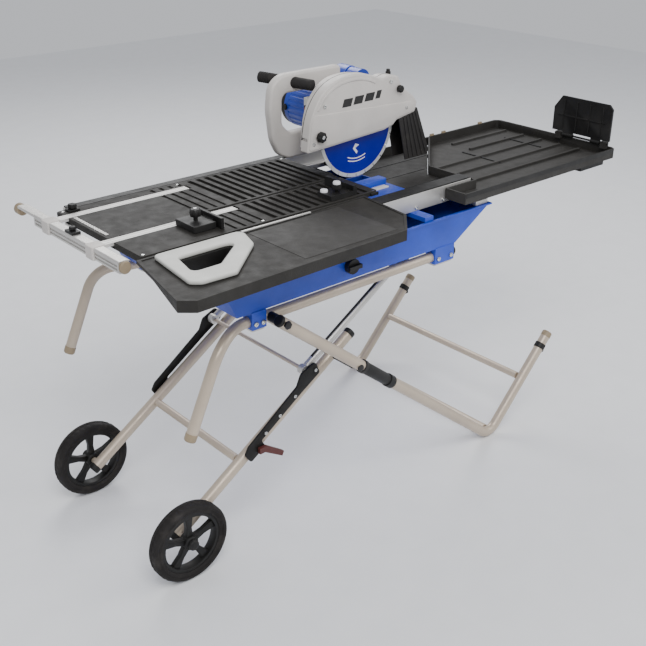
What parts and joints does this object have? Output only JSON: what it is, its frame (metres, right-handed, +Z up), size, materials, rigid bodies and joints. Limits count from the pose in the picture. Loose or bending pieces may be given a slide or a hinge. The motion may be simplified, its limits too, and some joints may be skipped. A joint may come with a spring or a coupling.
{
  "type": "wet tile saw",
  "caption": "Wet tile saw with a hinged blade head, sliding table and side tray over a water basin, on a folding scissor stand with wheels.",
  "frame": {"origin": "on the floor under the middle of the whole saw's outer box", "axes": "+X from the operator's wheel end to the outfeed end, +Y from the side tray towards the motor and post side, +Z up"},
  "size_m": [1.6136, 0.754, 1.044],
  "materials": {
    "blue_plastic": "satin",
    "blue_metal": "satin",
    "blade_blue": "satin",
    "grey_cast": "satin",
    "light_grey": "satin",
    "dark_plastic": "matte",
    "black_plastic": "satin",
    "rubber": "matte",
    "tyre": "matte",
    "champagne": "satin metallic",
    "silver": "satin",
    "steel": "satin",
    "copper": "satin",
    "red_plastic": "satin"
  },
  "bodies": {
    "base": {"water_basin": "blue_plastic", "front_beam": "silver", "rear_beam": "silver", "guide_rail_near": "silver", "guide_rail_far": "silver", "blade_well": "blue_plastic", "water_pump": "black_plastic", "pump_hose": "rubber", "side_tray": "dark_plastic", "carry_handle": "light_grey", "rear_tray": "dark_plastic", "head_post": "blue_metal", "pivot_shaft": "steel", "stand_rail_near": "champagne", "stand_rail_far": "champagne"},
    "drain_plug_body": {"drain_plug": "black_plastic"},
    "table": {"sliding_table": "dark_plastic"},
    "front_rollers": {"front_roller_axle": "black_plastic"},
    "rear_rollers": {"rear_roller_axle": "black_plastic"},
    "extension": {"extension_bar": "silver"},
    "gauge": {"angle_gauge": "black_plastic"},
    "gauge_knob_body": {"gauge_knob": "black_plastic"},
    "rip_guide_body": {"rip_guide": "black_plastic"},
    "head": {"head_arm": "blue_metal", "gear_housing": "grey_cast", "arbor_bearing": "steel", "motor_bearing": "steel", "motor_housing": "blue_plastic", "motor_end_cap": "black_plastic", "stator": "copper", "guard_cover": "grey_cast", "guard_body": "grey_cast", "splash_flap": "rubber", "handle_loop": "grey_cast", "plunge_grip": "rubber", "switch_box": "light_grey"},
    "spindle": {"blade": "blade_blue", "outer_flange": "steel", "arbor_nut": "steel", "arbor_shaft": "steel", "arbor_gear": "steel"},
    "rotor": {"armature": "steel"},
    "switch": {"switch_button": "red_plastic"},
    "guard_knob_body": {"guard_knob": "black_plastic"},
    "splash_plate_body": {"splash_plate": "black_plastic"},
    "foot_frame": {"foot_leg_near": "champagne", "foot_leg_far": "champagne", "foot_bar": "champagne", "pull_bar": "champagne"},
    "wheel_frame": {"wheel_leg_near": "champagne", "wheel_leg_far": "champagne", "scissor_strut_near": "silver", "scissor_strut_far": "silver", "leg_brace": "champagne", "latch_rod": "champagne"},
    "wheel_near": {"tyre_near": "tyre", "wheel_hub_near": "black_plastic"},
    "wheel_far": {"tyre_far": "tyre", "wheel_hub_far": "black_plastic"},
    "pedal": {"release_pedal": "red_plastic"}
  },
  "joints": [
    {"name": "table_slide", "type": "slide", "parent": "base", "child": "table", "axis": [1, 0, 0], "range_m": [0, 0.45]},
    {"name": "front_roller_spin", "type": "hinge", "parent": "table", "child": "front_rollers", "pos_m": [-0.6402, 0.067, 0.7484], "axis": [0, 1, 0], "range_deg": [0, 2600]},
    {"name": "rear_roller_spin", "type": "hinge", "parent": "table", "child": "rear_rollers", "pos_m": [-0.2302, 0.067, 0.7484], "axis": [0, 1, 0], "range_deg": [0, 2600]},
    {"name": "extension_slide", "type": "slide", "parent": "table", "child": "extension", "axis": [-1, 0, 0], "range_m": [0, 0.25]},
    {"name": "gauge_swivel", "type": "hinge", "parent": "table", "child": "gauge", "pos_m": [-0.5152, -0.045, 0.79], "axis": [0, 0, 1], "range_deg": [-45, 45]},
    {"name": "gauge_knob_turn", "type": "hinge", "parent": "gauge", "child": "gauge_knob_body", "pos_m": [-0.5152, -0.045, 0.81], "axis": [0, 0, 1], "range_deg": [0, 360]},
    {"name": "rip_guide_slide", "type": "slide", "parent": "table", "child": "rip_guide_body", "axis": [-1, 0, 0], "range_m": [0, 0.22]},
    {"name": "head_pivot", "type": "hinge", "parent": "base", "child": "head", "pos_m": [0.2848, 0.289, 0.95], "axis": [0, 1, 0], "range_deg": [0, 20]},
    {"name": "blade_spin", "type": "hinge", "parent": "head", "child": "spindle", "pos_m": [0.0408, 0.025, 0.896], "axis": [0, 1, 0], "continuous": true},
    {"name": "armature_spin", "type": "hinge", "parent": "head", "child": "rotor", "pos_m": [0.0328, 0.155, 0.92616], "axis": [0, 1, 0], "continuous": true},
    {"name": "switch_press", "type": "slide", "parent": "head", "child": "switch", "axis": [1, 0, 0], "range_m": [0, 0.003], "stiffness_N_per_m": 400, "springref_m": -0.002},
    {"name": "guard_knob_turn", "type": "hinge", "parent": "head", "child": "guard_knob_body", "pos_m": [-0.1082, -0.01, 0.906], "axis": [0, 1, 0], "range_deg": [0, 360]},
    {"name": "splash_plate_fold", "type": "hinge", "parent": "base", "child": "splash_plate_body", "pos_m": [0.7958, -0.145, 0.772], "axis": [0, -1, 0], "range_deg": [0, 80]},
    {"name": "drain_pull", "type": "slide", "parent": "base", "child": "drain_plug_body", "axis": [0, -1, 0], "range_m": [0, 0.03]},
    {"name": "stand_fold", "type": "hinge", "parent": "base", "child": "foot_frame", "pos_m": [-0.4552, 0.003, 0.606], "axis": [0, -1, 0], "range_deg": [0, 33]},
    {"name": "scissor_fold", "type": "hinge", "parent": "foot_frame", "child": "wheel_frame", "pos_m": [-0.2282, 0.003, 0.417], "axis": [0, -1, 0], "range_deg": [-66, 0]},
    {"name": "wheel_near_spin", "type": "hinge", "parent": "wheel_frame", "child": "wheel_near", "pos_m": [-0.7052, -0.226, 0.1016], "axis": [0, 1, 0], "continuous": true},
    {"name": "wheel_far_spin", "type": "hinge", "parent": "wheel_frame", "child": "wheel_far", "pos_m": [-0.7052, 0.232, 0.1016], "axis": [0, 1, 0], "continuous": true},
    {"name": "pedal_press", "type": "hinge", "parent": "wheel_frame", "child": "pedal", "pos_m": [-0.47625, -0.2136, 0.24821], "axis": [0, 1, 0], "range_deg": [0, 20], "stiffness_Nm_per_rad": 1.5, "springref_deg": -11.46}
  ],
  "couplings": [
    {"joint": "front_roller_spin", "follows": "table_slide", "rad_per_m": 100},
    {"joint": "rear_roller_spin", "follows": "table_slide", "rad_per_m": 100},
    {"joint": "armature_spin", "follows": "blade_spin", "ratio": -2},
    {"joint": "scissor_fold", "follows": "stand_fold", "ratio": -2}
  ]
}
